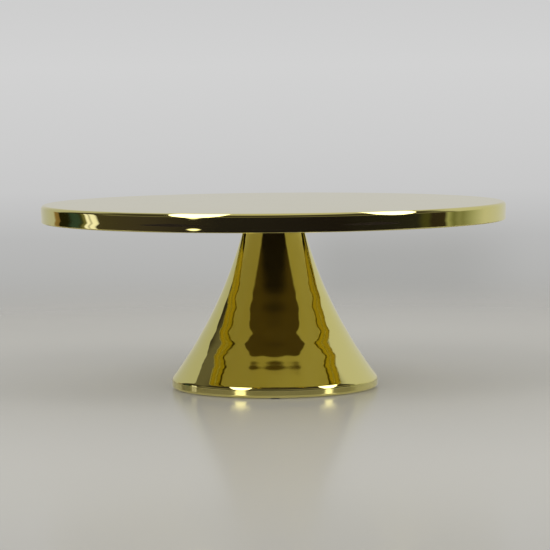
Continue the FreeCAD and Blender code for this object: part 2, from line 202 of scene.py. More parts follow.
# %% Gold plating
GOLD = (0.80, 0.715, 0.255, 1)
GOLD_THIN = (0.815, 0.735, 0.29, 1)
DRIFT_SIZE = 60 * MM
SMUDGE_SIZE = 22 * MM
MOP_LINE = 0.35 * MM


def new_material(name):
    material = bpy.data.materials.new(name)
    material.use_nodes = True
    graph = Graph(material.node_tree)
    return material, graph


def show(graph, surface):
    graph.add("ShaderNodeOutputMaterial", None, {"Surface": surface})


def object_place(graph):
    """Where a point lies on the object, in metres, with its distance from the stand's axis."""
    place = graph.add("ShaderNodeTexCoord")["Object"]
    x, y, z = graph.split(place)
    radius = (x * x + y * y).math("SQRT")
    return place, radius, z


def ring_lines(graph, radius, height, spacing, lean):
    """Fine rings round the axis. They follow the radius on a flat face and the height on an upright one."""
    along = (radius * lean + height * (1 - lean)) / spacing
    return graph.noise_along(along, 3.0)


def gold_plating(name, blur, line_depth, lean):
    """Mirror-bright gold. blur is its least roughness, and lean is 1 where its rings are seen from above."""
    material, graph = new_material(name)
    place, radius, height = object_place(graph)
    drift = graph.smooth(graph.noise(place, 1 / DRIFT_SIZE), 0.35, 0.65)
    colour = graph.blend(drift, GOLD, GOLD_THIN)
    smudge = graph.smooth(graph.noise(place, 1 / SMUDGE_SIZE, 5.0, 0.6), 0.5, 0.8)
    lines = ring_lines(graph, radius, height, MOP_LINE, lean)
    relief = graph.bump(lines, 1.0, line_depth)
    roughness = smudge * 0.05 + lines * 0.02 + blur
    show(graph, graph.principled(Base_Color=colour, Metallic=1.0, Roughness=roughness, Normal=relief))
    return material


plate_gold = gold_plating("plate_gold", 0.02, 0.00002 * MM, 1.0)
pedestal_gold = gold_plating("pedestal_gold", 0.03, 0.00004 * MM, 0.2)
hidden_gold = gold_plating("hidden_gold", 0.2, 0.0008 * MM, 0.5)
print("gold finishes:", plate_gold.name, pedestal_gold.name, hidden_gold.name)

# %% [markdown]
# ## Zinc, and two rubbers
# The stud, the nut and the washer are bought in, so they have the hardware maker's yellow zinc: satin, with
# turning lines, and grey where a spanner or a thread has rubbed it. The gasket and the foot pads are moulded
# rubber, which is never quite black: it has a bloom, fine grain and a dull sheen.

# %% Hardware and rubber
def zinc_finish():
    material, graph = new_material("yellow_zinc")
    place, radius, height = object_place(graph)
    bloom = graph.smooth(graph.noise(place, 1 / (4 * MM), 4.0), 0.3, 0.7)
    worn = graph.smooth(graph.noise(place, 1 / (1.5 * MM), 6.0, 0.7), 0.52, 0.7)
    colour = graph.blend(bloom, (0.55, 0.50, 0.36, 1), (0.66, 0.60, 0.50, 1))
    colour = graph.blend(worn, colour, (0.58, 0.58, 0.57, 1))
    lines = ring_lines(graph, radius, height, 0.12 * MM, 0.5)
    relief = graph.bump(lines, 0.4, 0.003 * MM)
    roughness = 0.28 + worn * 0.15
    show(graph, graph.principled(Base_Color=colour, Metallic=1.0, Roughness=roughness, Normal=relief))
    return material


def rubber_finish(name, dark, pale, grain):
    material, graph = new_material(name)
    place, radius, height = object_place(graph)
    bloom = graph.smooth(graph.noise(place, 1 / (6 * MM), 3.0), 0.4, 0.7)
    fine = graph.noise(place, 1 / grain, 6.0, 0.7)
    colour = graph.blend(bloom, dark, pale)
    relief = graph.bump(fine, 0.5, 0.02 * MM)
    roughness = 0.55 + fine * 0.3
    show(graph, graph.principled(Base_Color=colour, Roughness=roughness, Sheen_Weight=0.15, Normal=relief))
    return material


yellow_zinc = zinc_finish()
gasket_black = rubber_finish("gasket_black", (0.012, 0.012, 0.012, 1), (0.035, 0.034, 0.032, 1), 0.5 * MM)
pad_black = rubber_finish("pad_black", (0.02, 0.02, 0.02, 1), (0.05, 0.05, 0.048, 1), 0.4 * MM)
print("hardware and rubber finishes:", yellow_zinc.name, gasket_black.name, pad_black.name)

# %% [markdown]
# ## Sections
# A turned piece is its section, swung round an axis. An `Outline` is drawn in radius and height with the
# outside of the metal on its left. It puts a point close to each end of a straight run, because a wide smooth
# face beside a bend would look dished. Marks are numbers from 0 to 1 that say where a rule has its effect.

# %% Outlines
CLOSE = 0.12 * MM


def toward(start, distance, angle):
    """The point at this distance from start, at an angle in degrees."""
    turned = math.radians(angle)
    return start[0] + distance * math.cos(turned), start[1] + distance * math.sin(turned)


def sine(angle):
    return math.sin(math.radians(angle))


class Outline:
    """A section drawn in the radius-height plane, with the outside on its left."""

    def __init__(self, radius, height, **marks):
        self.points = [(radius, height)]
        self.marks = [marks]

    def put(self, radius, height, marks, share):
        self.points.append((radius, height))
        self.marks.append({name: value(share) if callable(value) else value for name, value in marks.items()})

    def line(self, radius, height, step=2 * MM, **marks):
        """A straight run to a point, in steps of about this length."""
        r0, z0 = self.points[-1]
        length = math.dist((r0, z0), (radius, height))
        count = max(1, round(length / step))
        shares = [k / count for k in range(1, count + 1)]
        if length > 4 * CLOSE:
            shares = sorted(set(shares) | {CLOSE / length, 1 - CLOSE / length})
        for share in shares:
            self.put(r0 + (radius - r0) * share, z0 + (height - z0) * share, marks, share)

    def bend(self, centre, radius, start, end, count, **marks):
        """An arc round a centre from one angle to another, in degrees."""
        for k in range(1, count + 1):
            point = toward(centre, radius, start + (end - start) * k / count)
            self.put(*point, marks, k / count)

    def edge(self, radius, height, round_size, side):
        """A sheet's cut edge, slightly rounded: at this radius, and from this height up by side."""
        inner = radius + round_size
        self.line(inner, height)
        self.bend((inner, height + round_size), round_size, -90, -180, 3)
        self.line(radius, height + side - round_size, 0.4 * MM)
        self.bend((inner, height + side - round_size), round_size, 180, 90, 3)


def swell(share):
    """Nothing at either end of a run, and full strength over its middle."""
    edge = 0.08
    return min(1.0, share / edge, (1 - share) / edge)


print("outlines are ready")

# %% [markdown]
# ## One lathe for every round piece
# The lathe is a Geometry Nodes tree. It makes a grid with one row for each point of the section and one
# column for each step round the axis, and moves every grid point to its place: the row gives radius and
# height, the column gives the angle. `Merge by Distance` then closes the seam and the poles. The Screw
# modifier could also turn a section, but it gives no hold on single points, which the rules below need.

# %% The lathe
SAME_POINT = 0.0005 * MM


class Lathe:
    """One turned piece's tree. A rule changes radius and height, which are wires."""

    def __init__(self, name, outline, sizes):
        self.tree = bpy.data.node_groups.new(f"lathe_{name}", "GeometryNodeTree")
        self.graph = Graph(self.tree)
        self.sizes = dict(sizes)
        self.tree.interface.new_socket("Section", in_out="INPUT", socket_type="NodeSocketGeometry")
        for size in sizes:
            self.tree.interface.new_socket(size, in_out="INPUT", socket_type="NodeSocketFloat")
        self.tree.interface.new_socket("Piece", in_out="OUTPUT", socket_type="NodeSocketGeometry")
        self.given = self.graph.add("NodeGroupInput")
        self.section = self.given["Section"]
        rows = self.graph.add("GeometryNodeAttributeDomainSize", {"component": "MESH"}, {0: self.section})
        around = self.given["Steps round"]
        grid = self.graph.add(
            "GeometryNodeMeshGrid", None, {"Vertices X": rows["Point Count"], "Vertices Y": around + 1}
        )
        self.grid = grid["Mesh"]
        index = self.graph.add("GeometryNodeInputIndex")[0]
        self.row = ((index + 0.5) / (around + 1)).math("FLOOR")
        column = index - self.row * (around + 1)
        self.turn = column / around
        self.angle = self.turn * math.tau
        self.radius, unused, self.height = self.graph.split(self.read_vector("position"))
        self.out_radius, unused, self.out_height = self.graph.split(self.read_vector("outward"))

    def sample(self, value, kind):
        inputs = {"Geometry": self.section, "Value": value, "Index": self.row}
        return self.graph.add("GeometryNodeSampleIndex", {"data_type": kind}, inputs)[0]

    def read_vector(self, name):
        if name == "position":
            return self.sample(self.graph.add("GeometryNodeInputPosition")[0], "FLOAT_VECTOR")
        return self.sample(self.graph.named(name, "FLOAT_VECTOR"), "FLOAT_VECTOR")

    def mark(self, name):
        """How strongly a rule applies here, from 0 to 1, as the section says."""
        return self.sample(self.graph.named(name), "FLOAT")

    def push(self, distance):
        """Moves the surface outward, away from the metal."""
        self.radius = self.radius + distance * self.out_radius
        self.height = self.height + distance * self.out_height

    def finish(self, materials):
        """Places the grid, closes it and gives it its materials. The last is for faces marked hidden."""
        graph = self.graph
        x = self.radius * self.angle.math("COSINE")
        y = self.radius * self.angle.math("SINE")
        place = graph.add("ShaderNodeCombineXYZ", None, {0: x, 1: y, 2: self.height})
        hidden = self.mark("hidden")
        turned = graph.add("GeometryNodeSetPosition", None, {"Geometry": self.grid, "Position": place[0]})
        stored = graph.add(
            "GeometryNodeStoreNamedAttribute",
            {"data_type": "FLOAT", "domain": "POINT"},
            {"Geometry": turned[0], "Name": "hidden", "Value": hidden},
        )
        same = {"Geometry": stored[0], "Distance": SAME_POINT}
        closed = graph.add("GeometryNodeMergeByDistance", None, same)
        real = graph.add("GeometryNodeRealizeInstances", None, {"Geometry": closed[0]})
        piece = graph.add("GeometryNodeSetMaterial", None, {"Geometry": real[0], "Material": materials[0]})
        for material in materials[1:]:
            chosen = graph.named("hidden").math("GREATER_THAN", 0.5)
            inputs = {"Geometry": piece[0], "Selection": chosen, "Material": material}
            piece = graph.add("GeometryNodeSetMaterial", None, inputs)
        graph.add("NodeGroupOutput", None, {"Piece": piece[0]})


def section_object(name, outline):
    """The outline as a chain of edges, with its marks and its outward direction on its points."""
    mesh = bpy.data.meshes.new(f"{name}_section")
    points = outline.points
    last = len(points) - 1
    mesh.from_pydata([(r, 0, z) for r, z in points], [(k, k + 1) for k in range(last)], [])
    outward = []
    run = [0.0]
    for k in range(len(points)):
        before, after = points[max(k - 1, 0)], points[min(k + 1, last)]
        direction = Vector((after[0] - before[0], 0, after[1] - before[1])).normalized()
        outward += [-direction.z, 0, direction.x]
        if k:
            run.append(run[-1] + math.dist(points[k - 1], points[k]))
    mesh.attributes.new("outward", "FLOAT_VECTOR", "POINT").data.foreach_set("vector", outward)
    mesh.attributes.new("run", "FLOAT", "POINT").data.foreach_set("value", run)
    for mark in sorted({"hidden"} | {m for marks in outline.marks for m in marks}):
        values = [marks.get(mark, 0.0) for marks in outline.marks]
        mesh.attributes.new(mark, "FLOAT", "POINT").data.foreach_set("value", values)
    thing = bpy.data.objects.new(name, mesh)
    bpy.context.scene.collection.objects.link(thing)
    return thing


def plain_mesh(thing, modifier, name, sharp_angle):
    """The modifier's result as a mesh with outward faces, in place of the object it came from."""
    shapes = bpy.context.evaluated_depsgraph_get()
    mesh = bpy.data.meshes.new_from_object(thing.evaluated_get(shapes), depsgraph=shapes)
    thing.modifiers.remove(modifier)
    bpy.data.objects.remove(thing)
    if mesh.materials and mesh.materials[0] is None:
        mesh.materials.pop(index=0)
    shape = bmesh.new()
    shape.from_mesh(mesh)
    bmesh.ops.recalc_face_normals(shape, faces=shape.faces)
    for face in shape.faces:
        face.smooth = True
    shape.to_mesh(mesh)
    shape.free()
    mesh.set_sharp_from_angle(angle=math.radians(sharp_angle))
    mesh.name = name
    piece = bpy.data.objects.new(name, mesh)
    bpy.context.scene.collection.objects.link(piece)
    return piece


def set_sizes(modifier, sizes):
    """Fills a modifier's named inputs, which it knows by their identifiers."""
    for item in modifier.node_group.interface.items_tree:
        if item.in_out == "INPUT" and item.name in sizes:
            modifier[item.identifier] = sizes[item.name]


def turn(name, outline, around, materials, rules=(), sizes=None, sharp_angle=40):
    """Turns an outline into a piece. Each rule is a function that works on the lathe's wires."""
    sizes = {"Steps round": float(around), **(sizes or {})}
    lathe = Lathe(name, outline, sizes)
    for rule in rules:
        rule(lathe)
    lathe.finish(materials)
    section = section_object(name, outline)
    modifier = section.modifiers.new("lathe", "NODES")
    modifier.node_group = lathe.tree
    set_sizes(modifier, sizes)
    piece = plain_mesh(section, modifier, name, sharp_angle)
    print(f"{name}: {len(piece.data.polygons)} faces")
    return piece


# %% [markdown]
# ## The rules
# Spinning leaves rings, because the roller creeps down the former in steps. Pressing leaves slow waves, where
# the sheet sprang back. Both are a tenth of a millimetre high at most, but a mirror doubles every tilt, so
# they are what bends a reflection's edge. They are real geometry, so the mesh alone carries them.

# %% Ripples and waves
RINGS = ((36.5, 0.10, 3.8), (28, -0.05, 3.4), (21, 0.02, 2.4), (58, 0.03, 3.5), (66, -0.03, 4.0))


def ripples(lathe):
    """Rings left by the spinning roller, uneven in height and spacing."""
    along = lathe.mark("run") / lathe.given["Ripple pitch"] + lathe.given["Ripple seed"]
    rings = lathe.graph.noise_along(along, 1.5)
    lathe.push((rings - 0.5) * 2.0 * lathe.given["Ripple height"] * lathe.mark("rippled"))


def rings(lathe):
    """A few strong rings where the roller paused, each a smooth swelling or hollow at its own height."""
    total = 0.0
    for height, size, width in RINGS:
        off = (lathe.height - height * MM) / (width * MM)
        total = total + 1.0 / (1.0 + off * off * off * off) * (size * MM)
    lathe.push(total * lathe.mark("rippled"))


def waves(lathe):
    """Slow waves over the whole surface, from the sheet's springing back."""
    graph = lathe.graph
    x = lathe.radius * lathe.angle.math("COSINE")
    y = lathe.radius * lathe.angle.math("SINE")
    place = graph.add("ShaderNodeCombineXYZ", None, {0: x, 1: y, 2: lathe.height + lathe.given["Wave seed"]})
    cloud = graph.noise(place[0], 1.0 / lathe.given["Wave pitch"], 1.0)
    lathe.push((cloud - 0.5) * 2.0 * lathe.given["Wave height"] * lathe.mark("wavy"))


print("rules for sheet metal are ready")

# %% [markdown]
# ## Thread, hexagon and weld spots
# A thread is a ridge whose height up the axis grows with the angle, so a triangle wave of height minus turn
# cuts it, and the wave joins up with itself at the seam because a full turn is one whole pitch. A hexagon is
# a limit on the radius that changes with the angle. A ring of spots is one spot, seen in an angle that starts
# again at each spot.

# %% Thread, hexagon and spots
def thread(lathe):
    """Cuts a right-hand thread. A negative depth raises it from the wall of a bore."""
    climb = lathe.height / lathe.given["Thread pitch"] - lathe.turn
    wave = climb - climb.math("FLOOR")
    ridge = (wave - 0.5).math("ABSOLUTE") * 2.0
    groove = 1.0 - lathe.graph.add(
        "ShaderNodeMapRange", None, {"Value": ridge, "From Min": 0.14, "From Max": 0.88}
    )[0]
    lathe.push(groove * lathe.given["Thread depth"] * lathe.mark("threaded") * -1.0)


def hexagon(lathe):
    """Keeps the outside within six flats, with a corner at angle zero."""
    sixth = lathe.angle / (math.tau / 6)
    within = (sixth - sixth.math("FLOOR") - 0.5) * (math.tau / 6)
    limit = lathe.given["Across flats"] / 2 / within.math("COSINE")
    held = lathe.radius.math("MINIMUM", limit)
    mark = lathe.mark("flatted")
    lathe.radius = held * mark + lathe.radius * (1.0 - mark)


def weld_spots(lathe):
    """Presses a ring of round dimples into the surface, each with a slight lip."""
    count = lathe.given["Spot count"]
    part = lathe.turn * count + 0.5
    within = (part - part.math("FLOOR") - 0.5) * math.tau / count
    across = lathe.radius * within.math("COSINE") - lathe.given["Spot circle"]
    beside = lathe.radius * within.math("SINE")
    distance = (across * across + beside * beside).math("SQRT") / lathe.given["Spot radius"]
    dish = lathe.graph.smooth(distance, 0.72, 1.0, 1.0, 0.0)
    crown = lathe.graph.smooth(distance, 0.0, 0.7, 0.35, 0.0)
    lip = lathe.graph.smooth(distance, 0.95, 1.08) * lathe.graph.smooth(distance, 1.08, 1.3, 1.0, 0.0)
    depth = lathe.given["Spot depth"] * lathe.mark("spotted")
    lathe.push((lip * 0.18 - dish + dish * crown) * depth)


print("rules for hardware are ready")

# %% [markdown]
# ## The plate
# The plate's section goes from the middle of the top face, over the rim, down the skirt, round the hem and
# back along the inside, so that the piece is one closed sheet with a real thickness. A pressed skirt isn't
# straight: it bulges below the rim, draws in to a waist, and stands out again as a bead over the hem. Each of
# the three is an arc that starts in the direction the last one ended in, so a reflection slides along the
# skirt without a break, and the bead shows a lamp a second time. The outside has waves, which are slighter on
# the top face, where the sheet was pressed flat.

# %% Plate
TOP_WAVE = 0.35
PLATE_STEPS_ROUND = 420
PLATE_SHEET = 1.2 * MM
RIM_ROUND = 2.4 * MM
SKIRT_TILT_TOP = 1.6
SKIRT_TILT_WAIST = -4.0
SKIRT_TILT_HEM = 3.0
WAIST_ROUND = 16.5 * MM
BEAD_ROUND = 25 * MM
LIP_ROUND = 0.8 * MM
HEM_WIDTH = 2.6 * MM
EDGE_ROUND = 0.25 * MM


def plate_outline():
    low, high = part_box("top_plate")
    radius, top, bottom = high.x, high.z, low.z
    tilts = SKIRT_TILT_TOP, SKIRT_TILT_WAIST, SKIRT_TILT_HEM
    waist_drop = WAIST_ROUND * (sine(tilts[2]) - sine(tilts[1]))
    bead_drop = BEAD_ROUND * sine(tilts[2])
    skirt_drop = top - RIM_ROUND * (1 - sine(tilts[0])) - bottom - LIP_ROUND - waist_drop - bead_drop
    skirt_round = skirt_drop / (sine(tilts[0]) - sine(tilts[1]))
    overhang = (skirt_round - RIM_ROUND) * (1 - math.cos(math.radians(tilts[0])))
    rim = (radius - RIM_ROUND - overhang, top - RIM_ROUND)
    barrel = toward(rim, RIM_ROUND - skirt_round, tilts[0])
    waist = toward(barrel, skirt_round + WAIST_ROUND, tilts[1])
    bead = toward(waist, -WAIST_ROUND - BEAD_ROUND, tilts[2])
    lip = (bead[0] + BEAD_ROUND - LIP_ROUND, bottom + LIP_ROUND)
    section = Outline(0, top, wavy=TOP_WAVE)
    section.line(rim[0], top, 3 * MM, wavy=lambda share: TOP_WAVE + (1 - TOP_WAVE) * share**4)
    section.bend(rim, RIM_ROUND, 90, tilts[0], 16, wavy=1.0)
    section.bend(barrel, skirt_round, tilts[0], tilts[1], 9, wavy=1.0)
    section.bend(waist, WAIST_ROUND, 180 + tilts[1], 180 + tilts[2], 7, wavy=1.0)
    section.bend(bead, BEAD_ROUND, tilts[2], 0, 4, wavy=1.0)
    section.bend(lip, LIP_ROUND, 0, -90, 9, wavy=1.0)
    section.edge(radius - HEM_WIDTH, bottom, EDGE_ROUND, PLATE_SHEET)
    section.line(lip[0] + LIP_ROUND - PLATE_SHEET, bottom + PLATE_SHEET, 0.4 * MM)
    section.line(rim[0] + RIM_ROUND - PLATE_SHEET, rim[1])
    section.bend(rim, RIM_ROUND - PLATE_SHEET, 0, 90, 7)
    section.line(0, top - PLATE_SHEET, 5 * MM)
    return section


plate = turn(
    "plate_shell",
    plate_outline(),
    PLATE_STEPS_ROUND,
    [plate_gold],
    [waves],
    {"Wave height": 0.07 * MM, "Wave pitch": 24 * MM, "Wave seed": 0.0},
)
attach(plate, "plate")
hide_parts("top_plate")

# %% [markdown]
# ## The pedestal
# The flare is one arc, fixed by its two ends and by how far it bows inward from the straight line between
# them, which is how a spinner's template is drawn. The neck and the shoulder are fillets that touch the arc,
# so their centres lie at the arc's radius plus their own from its centre. The inside is not polished.

# %% Pedestal
PEDESTAL_SHEET = 1.0 * MM
NECK_RADIUS = 17 * MM
NECK_ROUND = 2.2 * MM
FLARE_BOW = 6.6 * MM
SHOULDER_ROUND = 4.0 * MM
BAND_HEIGHT = 5.8 * MM
FLANGE_ROUND = 1.6 * MM
FLANGE_WIDTH = 9.5 * MM
STUD_HOLE_RADIUS = 4.4 * MM


def angle_between(start, end):
    """The direction from one point of a section to another, in degrees."""
    return math.degrees(math.atan2(end[1] - start[1], end[0] - start[0]))


def pedestal_outline():
    low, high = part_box("pedestal_cone")
    foot, crown, bottom = high.x, high.z, low.z
    band_top = bottom + BAND_HEIGHT
    width, drop = foot - NECK_RADIUS, crown - band_top
    chord = math.hypot(width, drop)
    flare = (chord**2 / 4 + FLARE_BOW**2) / (2 * FLARE_BOW)
    reach = (flare - FLARE_BOW) / chord
    centre = ((NECK_RADIUS + foot) / 2 + drop * reach, (crown + band_top) / 2 + width * reach)
    neck_height = crown - NECK_ROUND
    neck_reach = math.sqrt((flare + NECK_ROUND) ** 2 - (neck_height - centre[1]) ** 2)
    neck = (centre[0] - neck_reach, neck_height)
    shoulder_radius = foot - SHOULDER_ROUND
    shoulder_drop = math.sqrt((flare + SHOULDER_ROUND) ** 2 - (shoulder_radius - centre[0]) ** 2)
    shoulder = (shoulder_radius, centre[1] - shoulder_drop)
    turned = (foot - FLANGE_ROUND, bottom + FLANGE_ROUND)
    leave, meet = angle_between(neck, centre), angle_between(shoulder, centre)
    start, end = angle_between(centre, neck) % 360, angle_between(centre, shoulder) % 360

    section = Outline(STUD_HOLE_RADIUS, crown)
    section.line(neck[0], crown)
    section.bend(neck, NECK_ROUND, 90, leave, 8)
    section.bend(centre, flare, start, end, 150, rippled=swell, wavy=swell)
    section.bend(shoulder, SHOULDER_ROUND, meet, 0, 10)
    section.line(foot, turned[1], 0.5 * MM)
    section.bend(turned, FLANGE_ROUND, 0, -90, 10)
    section.edge(foot - FLANGE_WIDTH, bottom, EDGE_ROUND, PEDESTAL_SHEET)
    inside = {"hidden": 1.0}
    section.line(turned[0], bottom + PEDESTAL_SHEET, **inside)
    section.bend(turned, FLANGE_ROUND - PEDESTAL_SHEET, -90, 0, 5, **inside)
    section.line(foot - PEDESTAL_SHEET, shoulder[1], **inside)
    section.bend(shoulder, SHOULDER_ROUND - PEDESTAL_SHEET, 0, meet, 6, **inside)
    section.bend(centre, flare + PEDESTAL_SHEET, end, start, 60, **inside)
    section.bend(neck, NECK_ROUND - PEDESTAL_SHEET, leave, 90, 5, **inside)
    section.line(STUD_HOLE_RADIUS, crown - PEDESTAL_SHEET, **inside)
    section.line(STUD_HOLE_RADIUS, crown, 0.4 * MM, **inside)
    return section


pedestal = turn(
    "pedestal_shell",
    pedestal_outline(),
    300,
    [pedestal_gold, hidden_gold],
    [ripples, rings, waves],
    {
        "Ripple height": 0.012 * MM,
        "Ripple pitch": 7 * MM,
        "Ripple seed": 3.0,
        "Wave height": 0.02 * MM,
        "Wave pitch": 20 * MM,
        "Wave seed": 0.0,
    },
)
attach(pedestal, "pedestal")
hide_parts("pedestal_cone")

# %% [markdown]
# ## The doubler under the plate
# The plate is too thin to hold a stud, so a thicker disc is spot welded under it. Each weld leaves a dimple
# with a flat, slightly crowned floor and a lip of metal that the electrode squeezed out.

# %% Doubler
DOUBLER_EDGE = 0.8 * MM
SPOT_CIRCLE = 32 * MM
SPOT_RADIUS = 2.5 * MM
SPOT_DEPTH = 0.4 * MM
SPOT_COUNT = 8


def doubler_outline():
    low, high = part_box("plate_doubler")
    radius, face, top = high.x, low.z, high.z
    section = Outline(0, top)
    section.line(radius, top, 6 * MM)
    section.line(radius, face + DOUBLER_EDGE, 0.4 * MM)
    section.bend((radius - DOUBLER_EDGE, face + DOUBLER_EDGE), DOUBLER_EDGE, 0, -90, 6)
    section.line(SPOT_CIRCLE + 2 * SPOT_RADIUS, face)
    section.line(SPOT_CIRCLE - 2 * SPOT_RADIUS, face, 0.3 * MM, spotted=1.0)
    section.line(0, face, 3 * MM)
    return section


doubler = turn(
    "doubler_disc",
    doubler_outline(),
    480,
    [hidden_gold],
    [weld_spots],
    {
        "Spot count": float(SPOT_COUNT),
        "Spot circle": SPOT_CIRCLE,
        "Spot radius": SPOT_RADIUS,
        "Spot depth": SPOT_DEPTH,
    },
)
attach(doubler, "plate")
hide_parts("plate_doubler")

# %% [markdown]
# ## Stud and nut
# The stud and the nut share one pitch and one thread depth, so they stay in mesh while the plate unscrews: a
# turn of the plate lifts the stud by one pitch, which carries its thread onto itself.

# %% Stud and nut
THREAD_PITCH = 1.25 * MM
THREAD_DEPTH = 0.6 * MM
THREAD_STEP = 0.11 * MM
STUD_RADIUS = 4 * MM
STUD_BEVEL = 1 * MM
PLAIN_SHARE = 0.08
RUN_IN_SHARE = 0.05
COLLAR_HEIGHT = 1 * MM
THREAD_PLAY = 0.08 * MM
NUT_FLATS = 13 * MM
NUT_BEVEL = 0.7 * MM


def thread_start(share):
    """No thread beside the collar, then a short run in which it deepens to its full depth."""
    return min(1.0, max(0.0, (share - PLAIN_SHARE) / RUN_IN_SHARE))


def stud_outline():
    low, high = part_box("centre_stud")
    collar, root, tip = high.x, high.z, low.z
    section = Outline(0, root)
    section.line(collar, root)
    section.line(collar, root - COLLAR_HEIGHT + EDGE_ROUND, 0.4 * MM)
    section.bend((collar - EDGE_ROUND, root - COLLAR_HEIGHT + EDGE_ROUND), EDGE_ROUND, 0, -90, 3)
    section.line(STUD_RADIUS, root - COLLAR_HEIGHT)
    section.line(STUD_RADIUS, tip + STUD_BEVEL, THREAD_STEP, threaded=thread_start)
    section.line(STUD_RADIUS - STUD_BEVEL, tip, THREAD_STEP, threaded=lambda share: 1 - share)
    section.line(0, tip)
    return section


stud = turn(
    "stud_threaded",
    stud_outline(),
    72,
    [yellow_zinc],
    [thread],
    {"Thread pitch": THREAD_PITCH, "Thread depth": THREAD_DEPTH},
)
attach(stud, "plate")
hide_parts("centre_stud")


def nut_outline():
    low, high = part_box("weld_nut")
    corner = NUT_FLATS / math.sqrt(3)
    face, top = low.z, high.z
    bore = STUD_RADIUS + THREAD_PLAY
    section = Outline(bore + THREAD_DEPTH / 3, top)
    section.line(corner, top, flatted=1.0)
    section.line(corner, face + NUT_BEVEL, 0.5 * MM, flatted=1.0)
    section.line(corner - NUT_BEVEL * math.sqrt(3), face, 0.15 * MM, flatted=1.0)
    section.line(bore + THREAD_DEPTH / 3, face)
    section.line(bore, face + THREAD_DEPTH / 2, THREAD_STEP)
    section.line(bore, top - THREAD_DEPTH / 2, THREAD_STEP, threaded=swell)
    section.line(bore + THREAD_DEPTH / 3, top, THREAD_STEP)
    return section


nut = turn(
    "nut_threaded",
    nut_outline(),
    96,
    [yellow_zinc],
    [thread, hexagon],
    {"Thread pitch": THREAD_PITCH, "Thread depth": -THREAD_DEPTH, "Across flats": NUT_FLATS},
    sharp_angle=25,
)
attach(nut, "pedestal")
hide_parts("weld_nut")
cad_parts["crown_washer"].data.materials.clear()
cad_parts["crown_washer"].data.materials.append(yellow_zinc)

# %% [markdown]
# ## Gasket
# The gasket keeps the two plated faces apart and lets the joint be tightened without a squeak. It is moulded
# rubber, so its edges are rounded, and it stays as flat as the clamping force presses it.

# %% Gasket
GASKET_BORE = 5.9 * MM
GASKET_EDGE = 0.3 * MM


def gasket_outline():
    low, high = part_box("seat_gasket")
    bore, edge = GASKET_BORE, GASKET_EDGE
    section = Outline(bore + edge, high.z)
    section.line(high.x - edge, high.z)
    section.bend((high.x - edge, high.z - edge), edge, 90, 0, 4)
    section.line(high.x, low.z + edge, 0.3 * MM)
    section.bend((high.x - edge, low.z + edge), edge, 0, -90, 4)
    section.line(bore + edge, low.z)
    section.bend((bore + edge, low.z + edge), edge, -90, -180, 4)
    section.line(bore, high.z - edge, 0.3 * MM)
    section.bend((bore + edge, high.z - edge), edge, 180, 90, 4)
    return section


gasket = turn("gasket_ring", gasket_outline(), 96, [gasket_black])
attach(gasket, "gasket")
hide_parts("seat_gasket")

# %% [markdown]
# ## Foot pads
# The pads are one shape set at equal steps round a circle, so the shape is turned once and a second tree
# copies it onto the points of a circle.

# %% Foot pads
PAD_EDGE = 0.2 * MM
PAD_COUNT = 4


def pad_outline(pad_radius, height):
    edge = PAD_EDGE
    section = Outline(0, height)
    section.line(pad_radius, height, 0.8 * MM)
    section.line(pad_radius, edge, 0.2 * MM)
    section.bend((pad_radius - edge, edge), edge, 0, -90, 4)
    section.line(0, 0, 0.8 * MM)
    return section


def copies_round(thing, material, count, circle):
    """A tree that sets copies of a piece at equal steps round the stand's axis."""
    tree = bpy.data.node_groups.new("copies_round", "GeometryNodeTree")
    graph = Graph(tree)
    tree.interface.new_socket("Piece", in_out="INPUT", socket_type="NodeSocketGeometry")
    tree.interface.new_socket("Count", in_out="INPUT", socket_type="NodeSocketInt")
    tree.interface.new_socket("Circle", in_out="INPUT", socket_type="NodeSocketFloat")
    tree.interface.new_socket("Pieces", in_out="OUTPUT", socket_type="NodeSocketGeometry")
    given = graph.add("NodeGroupInput")
    ring = graph.add("GeometryNodeMeshCircle", None, {"Vertices": given["Count"], "Radius": given["Circle"]})
    copies = graph.add("GeometryNodeInstanceOnPoints", None, {"Points": ring[0], "Instance": given["Piece"]})
    real = graph.add("GeometryNodeRealizeInstances", None, {"Geometry": copies[0]})
    piece = graph.add("GeometryNodeSetMaterial", None, {"Geometry": real[0], "Material": material})
    graph.add("NodeGroupOutput", None, {"Pieces": piece[0]})
    modifier = thing.modifiers.new("copies", "NODES")
    modifier.node_group = tree
    set_sizes(modifier, {"Count": count, "Circle": circle})
    return modifier


pad_low, pad_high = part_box("foot_pad_1")
pad_radius = (pad_high.y - pad_low.y) / 2
pad = turn("foot_pad", pad_outline(pad_radius, pad_high.z), 40, [pad_black])
copying = copies_round(pad, pad_black, PAD_COUNT, pad_high.x - pad_radius)
pads = plain_mesh(pad, copying, "foot_pads", 40)
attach(pads, "pedestal")
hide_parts("foot_pad_1", "foot_pad_2", "foot_pad_3", "foot_pad_4")
print("four foot pads on a circle of", round((pad_high.x - pad_radius) / MM, 2), "mm")

# %% [markdown]
# ## The studio
# A mirror looks like what stands round it. The table and wall that the camera sees are plain, and what the
# gold sees is painted into the world by direction, with no geometry that would stand before another camera.

# %% Camera
CAMERA_PLACE = (0.64 * MM, -1609 * MM, 194.8 * MM)
CAMERA_PITCH = 0.075
CAMERA_ROLL = 0.009
FOCAL_LENGTH = 160.1


def add_camera():
    data = bpy.data.cameras.new("camera")
    data.sensor_width = 36
    data.lens = FOCAL_LENGTH
    data.clip_end = 50
    camera = bpy.data.objects.new("camera", data)
    aim = Matrix.Rotation(math.pi / 2 - CAMERA_PITCH, 4, "X") @ Matrix.Rotation(-CAMERA_ROLL, 4, "Z")
    camera.matrix_world = Matrix.Translation(CAMERA_PLACE) @ aim
    bpy.context.scene.collection.objects.link(camera)
    bpy.context.scene.camera = camera


add_camera()
print("the camera is", round(-CAMERA_PLACE[1], 3), "m in front of the stand")

